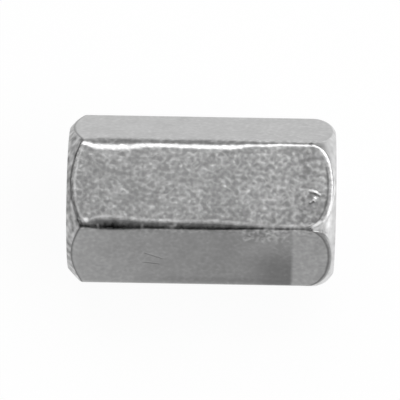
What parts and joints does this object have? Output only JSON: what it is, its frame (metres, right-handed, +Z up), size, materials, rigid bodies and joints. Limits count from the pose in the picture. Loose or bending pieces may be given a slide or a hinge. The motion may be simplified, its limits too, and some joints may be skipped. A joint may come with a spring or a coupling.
{
  "type": "coupling nut",
  "caption": "Long hexagon nut, tapped from end to end, that joins two threaded rods. It has chamfered ends and lies on one of its flats.",
  "frame": {"origin": "on the bore's axis, halfway along the nut", "axes": "+X along the bore, +Z up and square to the flat that the nut lies on"},
  "size_m": [0.03, 0.0194, 0.017],
  "materials": {
    "plated_steel": "dull zinc plate over drawn bar with turned ends, rubbed bright along some edges"
  },
  "bodies": {
    "root": {"coupling_nut": "plated_steel"}
  },
  "joints": []
}
